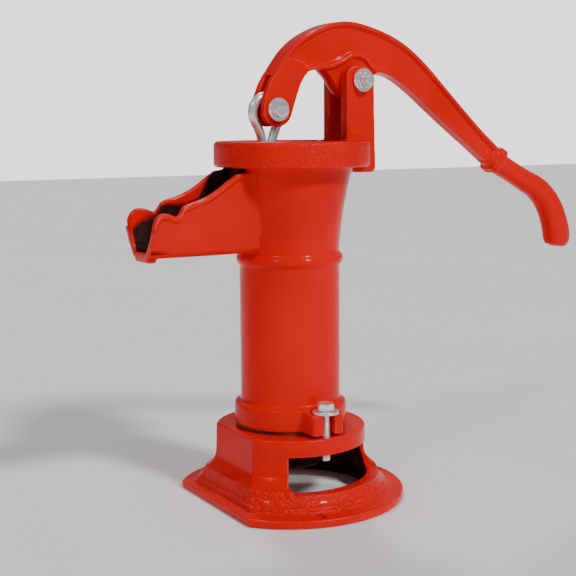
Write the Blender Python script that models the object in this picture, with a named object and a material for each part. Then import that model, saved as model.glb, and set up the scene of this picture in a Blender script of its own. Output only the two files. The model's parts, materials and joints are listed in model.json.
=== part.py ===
"""Hand well pump of the pitcher type: a cast-iron suction pump with an open trough spout, a turning cap that
carries the handle, and a leather-cupped plunger that slides in the barrel.

Every length below is in millimetres in the pump's own frame. The barrel's axis is x = y = 0 and the ground is
z = 0. The spout points to -X and the handle to +X. The whole pump is then shifted along X, so that the world's
origin is under the middle of its footprint.
"""

import math

import bmesh
import bpy
from mathutils import Vector

MM = 0.001
GAP = 0.3  # between pieces that rest on each other
NEAR, FAR = -1, 1  # the two sides of the pump along Y
STEPS = 44  # around the large turned castings

# Driving dimensions
SPOUT_REACH = 141.4
HANDLE_REACH = 327.27
FLANGE_RADIUS = 101.0
FLANGE_FLAT = 77.8  # distance of the flange's straight edge, which faces the spout's side
DRUM_RADIUS = 66.4
DRUM_FLAT = 57.0
STAND_HEIGHT = 64.6
WINDOW_BOTTOM, WINDOW_TOP = 21.0, 50.1
WINDOW_ANGLES = (22.0, 122.0)  # measured from +X, on both sides
FOOT_HOLE_CIRCLE, FOOT_HOLE_RADIUS = 92.0, 5.0
FOOT_HOLE_ANGLES = (0.0, 105.0, -105.0)
PORT_RADIUS = 19.3  # tapping size of the 1 1/4 inch suction pipe thread

LEATHER = 2.2
BODY_BOTTOM = STAND_HEIGHT + LEATHER + 2 * GAP
BORE_RADIUS = 38.0
TUBE_RADIUS = 44.0
COLLAR_RADIUS, COLLAR_TOP = 49.6, 87.2
LUG_HALF_WIDTH, LUG_REACH, LUG_TOP = 15.5, 65.5, 85.0
LUG_SLOT = 11.5
COLLAR_BOLT_AT = 59.0
COLLAR_WASHER_RADIUS = 11.4
BEAD_RADIUS, BEAD_MIDDLE = 46.6, 212.6
BODY_TOP = 304.0
BODY_FLANGE_RADIUS = 58.0

CAP_RADIUS, CAP_BOTTOM, CAP_TOP = 68.0, 292.4, 314.4
CAP_OFFSET = 3.0  # the set screw pulls the loose ring towards the handle's side
CAP_OPENING = 46.0
CAP_SKIRT_RADIUS = BODY_FLANGE_RADIUS + CAP_OFFSET + GAP
POST_INNER, POST_OUTER = 8.5, 19.5
POST_FRONT, POST_BACK = 47.4, 76.0
FOOT_BACK, FOOT_BOTTOM = 78.0, 286.0
SCREW_Z = 298.6
HEEL_STOP = 345.3  # top of the web between the posts, on which the handle's heel rests

PIVOT_X, PIVOT_Z = 63.7, 366.3
PIN_X, PIN_Z = -17.2, 340.8
FORK_HALF, FORK_GAP = 11.5, 10.0
HUB_HALF = 8.0
RIM_HALF, WEB_HALF = 11.0, 7.9
BOLT_RADIUS = 4.0  # M8 throughout
HOLE_RADIUS = 4.3

ROD_RADIUS = 4.0
EYE_X, EYE_Z, EYE_RING = -21.6, 338.4, 14.0
ROD_FOOT_Z = 186.0  # the rod's lower pin
PLUNGER_Z = 152.0  # underside of the plunger cage, at the top of the stroke
FLAP_HINGE_X = 31.5  # where the foot valve's leather bends

AXIS_X = (SPOUT_REACH - HANDLE_REACH) / 2  # where the barrel's axis lies in the world


# ---------------------------------------------------------------- materials and groups

def material(name, colour, roughness, metallic=0.0):
    made = bpy.data.materials.new(name)
    made.use_nodes = True
    shader = made.node_tree.nodes["Principled BSDF"]
    shader.inputs["Base Color"].default_value = (*colour, 1.0)
    shader.inputs["Roughness"].default_value = roughness
    shader.inputs["Metallic"].default_value = metallic
    return made


def group(name, origin, parent=None):
    """An empty on a moving group's axis. Its pieces are children whose meshes are drawn around it."""
    empty = bpy.data.objects.new(name, None)
    empty["origin_mm"] = origin
    start = Vector(parent["origin_mm"]) if parent else Vector((-AXIS_X, 0, 0))
    empty.location = (Vector(origin) - start) * MM
    empty.parent = parent
    bpy.context.scene.collection.objects.link(empty)
    return empty


# ---------------------------------------------------------------- shapes

def piece(name, points, faces, parent, look):
    """A closed mesh from points in the pump's frame."""
    origin = Vector(parent["origin_mm"])
    mesh = bpy.data.meshes.new(name)
    mesh.from_pydata([(Vector(p) - origin) * MM for p in points], [], faces)
    work = bmesh.new()
    work.from_mesh(mesh)
    bmesh.ops.recalc_face_normals(work, faces=work.faces)
    work.to_mesh(mesh)
    work.free()
    mesh.materials.append(look)
    made = bpy.data.objects.new(name, mesh)
    made.parent = parent
    bpy.context.scene.collection.objects.link(made)
    return made


def loft(name, rings, parent, look, ends="capped"):
    """Skins a row of rings with equal numbers of points. ends is capped, or joined for a hollow ring."""
    count = len(rings[0])
    points = [p for ring in rings for p in ring]
    spans = len(rings) if ends == "joined" else len(rings) - 1
    faces = []
    for i in range(spans):
        here, there = i * count, ((i + 1) % len(rings)) * count
        for j in range(count):
            k = (j + 1) % count
            faces.append((here + j, here + k, there + k, there + j))
    if ends == "capped":
        faces.append(tuple(range(count)))
        faces.append(tuple((len(rings) - 1) * count + j for j in range(count)))
    return piece(name, points, faces, parent, look)


def hex_reach(across_flats, angle):
    """Distance from a hexagon's centre to its side, in this direction."""
    return across_flats / 2 / math.cos((angle + math.pi / 6) % (math.pi / 3) - math.pi / 6)


def turned(name, profile, parent, look, steps=STEPS, centre=(0, 0, 0), axis="z", ends="joined"):
    """A solid turned from (radius, height) points. A third value makes that ring a hexagon of this size across
    its flats, rounded down to the radius. axis lays the solid along X, Y or Z, with its height along it."""
    rings = []
    for radius, height, *flats in profile:
        ring = []
        for j in range(steps):
            angle = 2 * math.pi * j / steps
            reach = min(radius, hex_reach(flats[0], angle)) if flats else radius
            u, v = reach * math.cos(angle), reach * math.sin(angle)
            local = {"x": (height, u, v), "y": (u, height, v), "z": (u, v, height)}[axis]
            ring.append([c + d for c, d in zip(centre, local)])
        rings.append(ring)
    return loft(name, rings, parent, look, ends)


def prism(name, outline, low, high, parent, look, axis="y"):
    """An outline of (x, z) points drawn out along Y, or of (x, y) points drawn out along Z."""
    if axis == "y":
        rings = [[(x, level, z) for x, z in outline] for level in (low, high)]
    else:
        rings = [[(x, y, level) for x, y in outline] for level in (low, high)]
    return loft(name, rings, parent, look)


def arc(centre, radius, start, end, steps):
    """Points on an arc, with its angles in degrees."""
    angles = [math.radians(start + (end - start) * i / steps) for i in range(steps + 1)]
    return [(centre[0] + radius * math.cos(a), centre[1] + radius * math.sin(a)) for a in angles]


def smooth(points, steps):
    """A Catmull-Rom curve through the points, with this many steps between neighbours."""
    vectors = [Vector(p) for p in points]
    vectors = [2 * vectors[0] - vectors[1], *vectors, 2 * vectors[-1] - vectors[-2]]
    curve = []
    for a, b, c, d in zip(vectors, vectors[1:], vectors[2:], vectors[3:]):
        for i in range(steps):
            t = i / steps
            curve.append(0.5 * (2 * b + (c - a) * t + (2 * a - 5 * b + 4 * c - d) * t * t
                                + (3 * b - a - 3 * c + d) * t ** 3))
    return [*curve, vectors[-2]]


def combine(target, other, operation):
    """Applies a Boolean and removes the other object."""
    cut = target.modifiers.new(operation.lower(), "BOOLEAN")
    cut.operation = operation
    cut.object = other
    bpy.context.view_layer.update()
    graph = bpy.context.evaluated_depsgraph_get()
    mesh = bpy.data.meshes.new_from_object(target.evaluated_get(graph))
    target.modifiers.remove(cut)
    target.data = mesh
    bpy.data.objects.remove(other)


def join(target, *others):
    for other in others:
        combine(target, other, "UNION")
    return target


def cut(target, *others):
    for other in others:
        combine(target, other, "DIFFERENCE")
    return target


def cylinder(radius, low, high, centre, parent, look, axis="z", steps=16):
    return turned("tool", [(radius, low), (radius, high)], parent, look, steps, centre, axis, "capped")


def shade(made, degrees=32.0):
    made.data.shade_smooth()
    made.data.set_sharp_from_angle(angle=math.radians(degrees))


# ---------------------------------------------------------------- stand

def flat_sided_ring(radius, flat, z, arc_steps=38, flat_steps=6):
    """A circle with its -X side cut straight at the distance flat, or left round where flat is None."""
    half = 35.0 if flat is None else math.degrees(math.acos(flat / radius))
    ring = arc((0, 0), radius, -180 + half, 180 - half, arc_steps)
    if flat is None:
        ring += arc((0, 0), radius, 180 - half, 180 + half, flat_steps)[1:-1]
    else:
        width = radius * math.sin(math.radians(half))
        ring += [(-flat, width * (1 - 2 * i / flat_steps)) for i in range(1, flat_steps)]
    return [(x, y, z) for x, y in ring]


def flat_distance(radius):
    """The stand's straight side leans out with its flare, but less than the round sides do."""
    share = max(0.0, radius - DRUM_RADIUS) / (FLANGE_RADIUS - DRUM_RADIUS)
    return DRUM_FLAT + (FLANGE_FLAT - DRUM_FLAT) * share ** 0.9 - max(0.0, DRUM_RADIUS - radius)


def window_tool(side, parent, look):
    """Cuts one of the two side windows, whose lower corners are chamfered."""
    first, last = WINDOW_ANGLES
    rings = []
    for z, inset in ((WINDOW_BOTTOM, 4.0), (WINDOW_BOTTOM + 4.5, 0.0), (WINDOW_TOP - 0.01, 0.0)):
        start, end = side * (first + inset), side * (last - inset)
        outline = arc((0, 0), 118.0, start, end, 12) + arc((0, 0), 52.0, end, start, 12)
        rings.append([(x, y, z) for x, y in outline])
    return loft("tool", rings, parent, look)


def make_stand(parent, look):
    outside = [(100.2, 0), (FLANGE_RADIUS, 0.9), (FLANGE_RADIUS, 5.2), (99.8, 6.4), (89.2, 7.6), (87.6, 8.8),
               (86.4, 11.4), (81.2, 16.6), (77.4, 20.8), (74.2, 24.8), (71.0, 29.0), (68.6, 32.6),
               (67.4, 36.0), (66.8, 44.0), (DRUM_RADIUS, 62.4), (65.7, 64.0), (64.2, STAND_HEIGHT)]
    inside = [(59.2, WINDOW_TOP), (61.4, 40.0), (64.2, 30.0), (67.5, 21.0), (72.6, 0)]
    hub = [(PORT_RADIUS + 0.9, STAND_HEIGHT), (PORT_RADIUS, STAND_HEIGHT - 0.9), (PORT_RADIUS, 30.4),
           (PORT_RADIUS + 1.4, 29.0), (26.0, 29.0), (27.6, 31.0), (27.6, 50.0), (30.0, 54.5), (47.0, 54.5),
           (50.0, WINDOW_TOP)]
    rings = [flat_sided_ring(r, flat_distance(r), z) for r, z in outside]
    rings += [flat_sided_ring(r, None, z) for r, z in hub]
    rings += [flat_sided_ring(r, flat_distance(r), z) for r, z in inside]
    stand = loft("base_stand", rings, parent, look, ends="joined")
    for side in (NEAR, FAR):
        thread = cylinder(HOLE_RADIUS, 40, 70, (0, side * COLLAR_BOLT_AT, 0), parent, look)
        cut(stand, window_tool(side, parent, look), thread)
    for angle in FOOT_HOLE_ANGLES:
        x, y = (FOOT_HOLE_CIRCLE * f(math.radians(angle)) for f in (math.cos, math.sin))
        cut(stand, cylinder(FOOT_HOLE_RADIUS, -5, 15, (x, y, 0), parent, look))
    shade(stand)


# ---------------------------------------------------------------- body: barrel, bowl, spout and collar

def spout_height(x):
    """Height of the spout wall's top edge, with the notch that holds a bucket's bail."""
    edge = [(-30, 290.6), (-51, 289.4), (-62.2, 288.2), (-70.2, 283.0), (-78.0, 277.4), (-85.6, 272.8),
            (-93.2, 269.4), (-100.7, 267.0), (-107.9, 265.2), (-112.1, 263.1), (-115.2, 258.0), (-118.1, 255.3),
            (-121.7, 256.4), (-125.7, 258.2), (-129.9, 259.0), (-134.0, 258.4), (-137.8, 255.2),
            (-140.2, 250.4), (-SPOUT_REACH, 242.4)]
    for (x1, z1), (x2, z2) in zip(edge, edge[1:]):
        if x2 <= x <= x1:
            return z1 + (z2 - z1) * (x - x1) / (x2 - x1)
    return edge[0][1] if x > edge[0][0] else edge[-1][1]


def trough_section(x):
    """The spout's cross-section: a U whose sides lean out towards the lip, with a thick rolled edge."""
    out = min(1.0, max(0.0, (-x - 100.0) / (SPOUT_REACH - 100.0)))
    wall, floor, bottom = 4.6, 5.0, 220.8
    top = spout_height(x)
    low, high = 21.7 - 3.6 * out, 22.3 + 6.0 * out ** 1.5
    side = [(low - 5.0, bottom), (low - 1.6, bottom + 1.2), (low, bottom + 4.6), (high - 0.2, top - 5.2),
            (high + 1.5, top - 3.8), (high + 1.8, top - 1.6), (high + 0.6, top - 0.2), (high - wall + 1.0, top),
            (high - wall, top - 1.0), (low - wall, bottom + floor + 3.4), (low - wall - 3.4, bottom + floor)]
    return [(x, y, z) for y, z in side] + [(x, -y, z) for y, z in reversed(side)]


def make_body(parent, look):
    outside = [(49.0, BODY_BOTTOM), (COLLAR_RADIUS, BODY_BOTTOM + 0.7), (COLLAR_RADIUS, COLLAR_TOP - 3.6),
               (49.1, COLLAR_TOP - 1.6), (47.6, COLLAR_TOP - 0.3), (45.8, COLLAR_TOP), (44.5, COLLAR_TOP + 0.9),
               (TUBE_RADIUS, COLLAR_TOP + 2.8), (TUBE_RADIUS, BEAD_MIDDLE - 5.4), (45.0, BEAD_MIDDLE - 4.4),
               (46.2, BEAD_MIDDLE - 3.0), (BEAD_RADIUS, BEAD_MIDDLE), (46.2, BEAD_MIDDLE + 3.0),
               (45.0, BEAD_MIDDLE + 4.4), (TUBE_RADIUS, BEAD_MIDDLE + 5.6), (43.9, 223.0), (44.6, 233.0),
               (46.9, 252.0), (49.6, 266.0), (52.0, 278.0), (54.2, 287.0), (56.0, 291.0),
               (BODY_FLANGE_RADIUS, 293.4), (BODY_FLANGE_RADIUS, BODY_TOP - 0.8),
               (BODY_FLANGE_RADIUS - 0.8, BODY_TOP)]
    inside = [(50.6, BODY_TOP), (49.8, BODY_TOP - 0.8), (49.4, 294.0), (48.0, 286.0), (44.8, 270.0),
              (41.2, 252.0), (38.7, 233.0), (BORE_RADIUS, 223.0),
              (BORE_RADIUS, BODY_BOTTOM + 0.8), (BORE_RADIUS + 0.8, BODY_BOTTOM)]
    body = turned("pump_body", outside + inside, parent, look)

    stations = [-41.0, -51.0, -62.2, -70.2, -78.0, -85.6, -93.2, -100.7, -107.9, -112.1, -115.2, -118.1,
                -121.7, -125.7, -129.9, -134.0, -137.8, -140.2, -SPOUT_REACH]
    trough = loft("tool", [trough_section(x) for x in stations], parent, look)
    drip_edge = prism("tool", [(-SPOUT_REACH + 0.8, 217.2), (-SPOUT_REACH + 8.2, 217.2),
                               (-SPOUT_REACH + 9.2, 222.4), (-SPOUT_REACH + 0.8, 222.4)],
                      -13.0, 13.0, parent, look)
    lug_outline = ([(-LUG_HALF_WIDTH, 42.0)] + arc((-LUG_HALF_WIDTH + 4, LUG_REACH - 4), 4, 180, 90, 4)
                   + arc((LUG_HALF_WIDTH - 4, LUG_REACH - 4), 4, 90, 0, 4) + [(LUG_HALF_WIDTH, 42.0)])
    lugs = [prism("tool", [(x, side * y) for x, y in lug_outline], BODY_BOTTOM, LUG_TOP, parent, look, axis="z")
            for side in (NEAR, FAR)]
    join(body, trough, drip_edge, *lugs)

    mouth = prism("tool", [(-70.0, 226.2), (-70.0, 291.5), (-25.0, 291.5), (-25.0, 226.2)], -17.0, 17.0,
                  parent, look)
    bore = cylinder(BORE_RADIUS - 0.02, 50, 226.0, (0, 0, 0), parent, look, steps=STEPS)
    slot = LUG_SLOT / 2
    slots = [prism("tool", [(-slot, side * 75.0), (slot, side * 75.0)] + [
        (x, side * y) for x, y in arc((0, COLLAR_BOLT_AT - 1), slot, 0, -180, 6)], BODY_BOTTOM - 5, LUG_TOP + 8,
        parent, look, axis="z") for side in (NEAR, FAR)]
    seats = [cylinder(COLLAR_WASHER_RADIUS + 0.6, LUG_TOP, LUG_TOP + 9, (0, side * COLLAR_BOLT_AT, 0), parent, look,
                      steps=24) for side in (NEAR, FAR)]
    cut(body, mouth, bore, *slots, *seats)
    shade(body)


# ---------------------------------------------------------------- cap and handle bracket

def make_cap(parent, look):
    ring = [(CAP_SKIRT_RADIUS, CAP_BOTTOM), (CAP_RADIUS - 1.0, CAP_BOTTOM), (CAP_RADIUS, CAP_BOTTOM + 1.0),
            (CAP_RADIUS, CAP_TOP - 3.4), (67.2, CAP_TOP - 1.4), (65.2, CAP_TOP),
            (47.4, CAP_TOP), (CAP_OPENING, CAP_TOP - 1.4),
            (CAP_OPENING, BODY_TOP + GAP + 1.0), (47.0, BODY_TOP + GAP), (CAP_SKIRT_RADIUS, BODY_TOP + GAP)]
    cap = turned("cap_bracket", ring, parent, look, centre=(CAP_OFFSET, 0, 0))

    foot_corner = 4.0
    outline = ([(POST_FRONT, CAP_TOP - 6.0), (POST_FRONT, PIVOT_Z + 2.0)]
               + arc((POST_FRONT + 10.0, PIVOT_Z + 2.0), 10.0, 165, 90, 5)
               + arc((PIVOT_X, PIVOT_Z), 12.2, 75, 0, 6)
               + [(POST_BACK + 1.0, PIVOT_Z - 40.0), (FOOT_BACK, CAP_BOTTOM)]
               + arc((FOOT_BACK - foot_corner, FOOT_BOTTOM + foot_corner), foot_corner, 0, -90, 4)
               + [(54.0, FOOT_BOTTOM), (54.0, CAP_TOP - 6.0)])
    posts = [prism("tool", outline, *sorted((side * POST_INNER, side * POST_OUTER)), parent, look)
             for side in (NEAR, FAR)]
    web = prism("tool", [(67.0, CAP_TOP - 6.0), (67.0, HEEL_STOP), (74.5, HEEL_STOP), (FOOT_BACK - 0.6, 300.0),
                         (FOOT_BACK - 0.6, FOOT_BOTTOM + 2), (56.0, FOOT_BOTTOM + 2), (56.0, 302.0)],
                -POST_INNER - 2, POST_INNER + 2, parent, look)
    join(cap, *posts, web)

    skirt = cylinder(CAP_SKIRT_RADIUS, CAP_BOTTOM, BODY_TOP + GAP, (CAP_OFFSET, 0, 0), parent, look, steps=STEPS)
    throat = cylinder(BODY_FLANGE_RADIUS + 0.5, 270, CAP_BOTTOM + 1, (0, 0, 0), parent, look, steps=STEPS)
    pivot_hole = cylinder(HOLE_RADIUS, -30, 30, (PIVOT_X, 0, PIVOT_Z), parent, look, axis="y")
    screw_hole = cylinder(HOLE_RADIUS, 50, 95, (0, 0, SCREW_Z), parent, look, axis="x")
    cut(cap, skirt, throat, pivot_hole, screw_hole)
    shade(cap)


def make_set_screw(parent, look):
    """Square-headed screw that clamps the cap to the body's flange, so that it stops turning."""
    tip, head, end, half = BODY_FLANGE_RADIUS + GAP, FOOT_BACK + 3.0, FOOT_BACK + 10.0, 5.0
    rings = []
    for x, radius, square in ((tip, 3.0, False), (tip + 1.2, BOLT_RADIUS, False), (head, BOLT_RADIUS, False),
                              (head, half, True), (end - 1.0, half, True), (end, half - 1.0, True)):
        ring = []
        for j in range(16):
            angle = 2 * math.pi * (j + 0.5) / 16
            reach = radius
            if square:
                reach = radius / max(abs(math.cos(angle)), abs(math.sin(angle)))
            ring.append((x, reach * math.cos(angle), SCREW_Z + reach * math.sin(angle)))
        rings.append(ring)
    shade(loft("cap_set_screw", rings, parent, look))


# ---------------------------------------------------------------- handle

def beam_section(top, bottom):
    """A section across the lever, between a point on its top edge and one on its lower edge. Its web has a rim
    along the top, and as far as the posts a rim along the bottom too."""
    top, bottom = Vector(top), Vector(bottom)
    down = (bottom - top).normalized()
    foot_half = WEB_HALF + (RIM_HALF - WEB_HALF) * min(1.0, max(0.0, (102.0 - bottom.x) / 10.0))
    side = []
    for edge, way, half in ((top, down, RIM_HALF), (bottom, -down, foot_half)):
        levels = [(0.0, half - 0.9), (0.9, half), (3.4, half), (5.8, WEB_HALF)]
        part = [(*(edge + way * depth), width) for depth, width in levels]
        side += part if edge is top else part[::-1]
    return [(x, half, z) for x, z, half in side] + [(x, -half, z) for x, z, half in reversed(side)]


def make_beam(parent, look):
    """The arched part from the fork to the grip. Its lower edge runs around the posts on an arc about the pivot."""
    top = [(-22.5, 366.0), (-15.0, 377.5), (-4.0, 391.4), (10.0, 402.8), (28.0, 411.6), (45.0, 416.2),
           (60.0, 416.6), (74.0, 414.2), (88.0, 410.4), (103.0, 405.0), (121.0, 395.5), (141.0, 380.4),
           (162.4, 360.8), (184.0, 341.0), (206.0, 321.5), (226.0, 305.6)]
    around = [(PIVOT_X + 20.0 * math.cos(math.radians(a)), PIVOT_Z + 20.0 * math.sin(math.radians(a)))
              for a in (135, 100, 65, 25)]
    bottom = [(8.0, 367.0), (12.0, 371.6), (18.0, 374.2), (27.0, 375.3), (37.0, 375.8), *around,
              (94.0, 372.6), (108.0, 368.4), (128.0, 356.2), (152.0, 338.2), (176.0, 320.6), (199.0, 304.2),
              (219.5, 289.0)]
    tops, bottoms = smooth(top, 2), smooth(bottom, 2)
    rings = [beam_section(t, b) for t, b in zip(tops, bottoms)]
    return loft("handle_lever", rings, parent, look)


def rounded_section(centre, along, half_height, half_width, corner):
    """A rounded rectangle across the handle. corner is the share of each half that is rounded."""
    along = Vector(along).normalized()
    across = Vector((-along.y, along.x))
    ring = []
    for j in range(16):
        angle = 2 * math.pi * j / 16
        u, v = math.cos(angle), math.sin(angle)
        swell = (abs(u) ** (2 / corner) + abs(v) ** (2 / corner)) ** (-corner / 2)
        p = Vector(centre) + across * (v * swell * half_height)
        ring.append((p.x, u * swell * half_width, p.y))
    return ring


def make_grip(parent, look):
    """The hand grip, which runs on from the collar and hooks down at its end."""
    middle = [(219.6, 299.4), (225.4, 295.8), (227.8, 294.2), (231.0, 292.2), (234.2, 290.2), (238.0, 287.8),
              (252.0, 280.5), (268.0, 272.3), (283.6, 264.3), (296.2, 253.2), (304.6, 240.2), (310.2, 226.6),
              (312.8, 215.6), (313.3, 208.2), (313.0, 204.8)]
    heights = [9.8, 11.4, 12.6, 12.6, 11.4, 10.1, 9.9, 10.4, 11.4, 12.4, 13.2, 13.9, 14.4, 13.2, 9.4]
    widths = [10.4, 11.6, 12.8, 12.8, 11.6, 10.0, 9.6, 9.6, 9.8, 10.0, 10.2, 10.4, 10.2, 8.8, 5.0]
    path, sizes = smooth(middle, 2), smooth(list(zip(heights, widths)), 2)
    rings = []
    for i, (centre, size) in enumerate(zip(path, sizes)):
        before, after = path[max(i - 1, 0)], path[min(i + 1, len(path) - 1)]
        rings.append(rounded_section(centre, after - before, size.x, size.y, 0.72))
    return loft("tool", rings, parent, look)


def make_lever(parent, look):
    lever = make_beam(parent, look)
    tip = arc((PIN_X, PIN_Z), 14.4, 197, 338, 10)
    fork = prism("tool", [(-19.0, 371.6), (-24.6, 362.4), (-29.6, 350.2)] + tip
                 + [(0.2, 347.4), (5.4, 361.6), (9.4, 368.6), (13.0, 372.0), (10.0, 381.0), (-4.0, 384.0)],
                 -FORK_HALF, FORK_HALF, parent, look)
    hub = prism("tool", [(26.0, 380.0), (30.5, 373.6), (36.0, 368.4), (41.0, 361.0), (46.0, 354.4),
                         (53.0, 349.4), (61.5, HEEL_STOP + GAP), (72.4, HEEL_STOP + GAP), (75.2, 353.0), (77.0, 362.0),
                         (84.0, 371.0), (92.0, 376.0), (86.0, 392.0), (44.0, 392.0)],
                -HUB_HALF, HUB_HALF, parent, look)
    join(lever, fork, hub, make_grip(parent, look))

    half = FORK_GAP / 2
    slot = prism("tool", [(-60.0, 310.0), (-60.0, 370.0), (11.0, 370.0), (20.0, 358.0), (20.0, 310.0)],
                 -half, half, parent, look)
    pin_hole = cylinder(HOLE_RADIUS, -30, 30, (PIN_X, 0, PIN_Z), parent, look, axis="y")
    pivot_hole = cylinder(HOLE_RADIUS, -30, 30, (PIVOT_X, 0, PIVOT_Z), parent, look, axis="y")
    cut(lever, slot, pin_hole, pivot_hole)
    shade(lever)


# ---------------------------------------------------------------- bolts, nuts and washers

def washer(name, centre, low, thickness, radius, parent, look, axis="z"):
    hole = HOLE_RADIUS
    profile = [(radius, low), (radius, low + thickness), (hole, low + thickness), (hole, low)]
    shade(turned(name, profile, parent, look, 20, centre, axis))


def bolt(name, centre, seat, head, end, parent, look, axis="z"):
    """A hexagon bolt: its head stands from seat to head, and its shank runs from seat to end."""
    way = 1 if head > seat else -1
    flats = 13.0
    profile = [(6.6, head, flats), (7.5, head - way * 0.8, flats), (7.5, seat, flats),
               (BOLT_RADIUS, seat), (BOLT_RADIUS, end + way * 0.8), (BOLT_RADIUS - 0.8, end)]
    shade(turned(name, profile, parent, look, 12, centre, axis, "capped"))


def nut(name, centre, low, high, parent, look, axis="z"):
    flats = 13.0
    profile = [(6.6, low, flats), (7.5, low + 0.8, flats), (7.5, high - 0.8, flats), (6.6, high, flats),
               (HOLE_RADIUS, high), (HOLE_RADIUS, low)]
    shade(turned(name, profile, parent, look, 12, centre, axis))


def make_collar_bolts(parent, look):
    for number, side in enumerate((NEAR, FAR), 1):
        centre = (0, side * COLLAR_BOLT_AT, 0)
        low = LUG_TOP + GAP
        seat = low + 2.2 + GAP
        washer(f"collar_washer_{number}", centre, low, 2.2, COLLAR_WASHER_RADIUS, parent, look)
        bolt(f"collar_bolt_{number}", centre, seat, seat + 6.4, 44.0, parent, look)


def make_cross_bolt(prefix, x, z, half, head_side, parent, look):
    """A bolt along Y with a washer under its head and one under its nut."""
    thickness = 1.6
    centre = (x, 0, z)
    for name, side in (("head", head_side), ("nut", -head_side)):
        low = half + GAP if side > 0 else -half - GAP - thickness
        washer(f"{prefix}_washer_{name}_side", centre, low, thickness, 10.0, parent, look, axis="y")
    seat = half + thickness + 2 * GAP
    bolt(f"{prefix}_bolt", centre, head_side * seat, head_side * (seat + 5.4), -head_side * (seat + 9.6),
         parent, look, axis="y")
    low, high = sorted((-head_side * seat, -head_side * (seat + 6.5)))
    nut(f"{prefix}_nut", centre, low, high, parent, look, axis="y")


# ---------------------------------------------------------------- piston rod

def make_rod(parent, look):
    """A round rod whose upper end is bent into an open teardrop eye, closed back against the shank."""
    ring = [(EYE_X + EYE_RING * math.cos(math.radians(a)), EYE_Z + EYE_RING * math.sin(math.radians(a)))
            for a in range(-36, 217, 14)]
    leg, foot, neck = ROD_RADIUS + 0.2, ROD_FOOT_Z + 4.0, EYE_Z - 40.0
    shank = smooth([(0.0, foot), ((EYE_X + leg) / 2, (foot + neck) / 2), (EYE_X + leg, neck),
                    (EYE_X + leg, EYE_Z - 30.0), (EYE_X + 5.2, EYE_Z - 22.0), (EYE_X + 8.6, EYE_Z - 13.0)], 2)
    free_end = smooth([(EYE_X - 8.6, EYE_Z - 13.0), (EYE_X - 5.2, EYE_Z - 22.0), (EYE_X - leg, EYE_Z - 30.0),
                       (EYE_X - leg, EYE_Z - 36.0)], 2)
    curve = bpy.data.curves.new("piston_rod", "CURVE")
    curve.dimensions = "3D"
    curve.bevel_depth = ROD_RADIUS * MM
    curve.bevel_resolution = 2
    curve.use_fill_caps = True
    origin = Vector(parent["origin_mm"])
    points = [*shank, *ring, *free_end]
    spline = curve.splines.new("POLY")
    spline.points.add(len(points) - 1)
    for point, (x, z) in zip(spline.points, points):
        point.co = (*((Vector((x, 0, z)) - origin) * MM), 1)
    bent = bpy.data.objects.new("tool", curve)
    bpy.context.scene.collection.objects.link(bent)
    bpy.context.view_layer.update()
    tube = bpy.data.meshes.new_from_object(bent.evaluated_get(bpy.context.evaluated_depsgraph_get()))
    bpy.data.objects.remove(bent)
    work = bmesh.new()
    work.from_mesh(tube)
    bmesh.ops.remove_doubles(work, verts=work.verts, dist=1e-6)
    bmesh.ops.recalc_face_normals(work, faces=work.faces)
    work.to_mesh(tube)
    work.free()
    tube.materials.clear()
    tube.materials.append(look)
    rod = bpy.data.objects.new("piston_rod", tube)
    rod.parent = parent
    bpy.context.scene.collection.objects.link(rod)
    knuckle = cylinder(7.0, -4.0, 4.0, (0, 0, ROD_FOOT_Z), parent, look, axis="y", steps=20)
    join(rod, knuckle)
    cut(rod, cylinder(2.8, -10, 10, (0, 0, ROD_FOOT_Z), parent, look, axis="y"))
    shade(rod, 50)


# ---------------------------------------------------------------- plunger

def make_plunger(parent, iron, leather, steel):
    z = PLUNGER_Z
    bell = [(15.1, z), (33.2, z), (34.0, z + 0.8), (34.0, z + 4.6), (32.0, z + 6.4), (24.5, z + 7.4),
            (23.6, z + 9.0), (23.0, z + 20.0), (20.5, z + 23.6), (12.2, z + 26.0), (11.2, z + 28.0),
            (11.2, z + 40.0), (10.2, z + 41.0)]
    inner = [(3.0, z + 41.0), (3.0, z + 22.0), (15.5, z + 21.0), (18.6, z + 18.0), (18.6, z + 6.0),
             (15.1, z + 6.0)]
    cage = turned("plunger_cage", bell + inner, parent, iron, steps=24)
    windows = [prism("tool", [(-9.0, z + 9.2), (9.0, z + 9.2), (9.0, z + 18.6), (-9.0, z + 18.6)], -40, 40,
                     parent, iron),
               prism("tool", [(-40.0, z + 9.4), (40.0, z + 9.4), (40.0, z + 18.4), (-40.0, z + 18.4)], -9, 9,
                     parent, iron)]
    clevis = prism("tool", [(-20.0, z + 26.6), (20.0, z + 26.6), (20.0, z + 60.0), (-20.0, z + 60.0)],
                   -4.4, 4.4, parent, iron)
    cut(cage, *windows, clevis, cylinder(2.8, -20, 20, (0, 0, ROD_FOOT_Z), parent, iron, axis="y"))
    shade(cage)

    cup = [(15.1, z - 3.3), (36.4, z - 3.3), (37.6, z - 2.1), (37.6, z + 12.0), (34.8, z + 12.0), (34.4, z + 11.6),
           (34.4, z - GAP), (15.1, z - GAP)]
    shade(turned("plunger_cup_leather", cup, parent, leather, steps=32))
    low = z - 3.3 - GAP
    follower = [(11.4, low - 6.0), (31.0, low - 6.0), (32.4, low - 4.6), (32.4, low), (14.8, low),
                (14.8, z + 6.0), (14.2, z + 6.6), (11.4, z + 6.6)]
    shade(turned("plunger_follower", follower, parent, iron, steps=24))
    pin = [(1.9, -14.0), (2.5, -13.4), (2.5, 13.4), (1.9, 14.0)]
    shade(turned("rod_pin", pin, parent, steel, 16, (0, 0, ROD_FOOT_Z), "y", "capped"))


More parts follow.
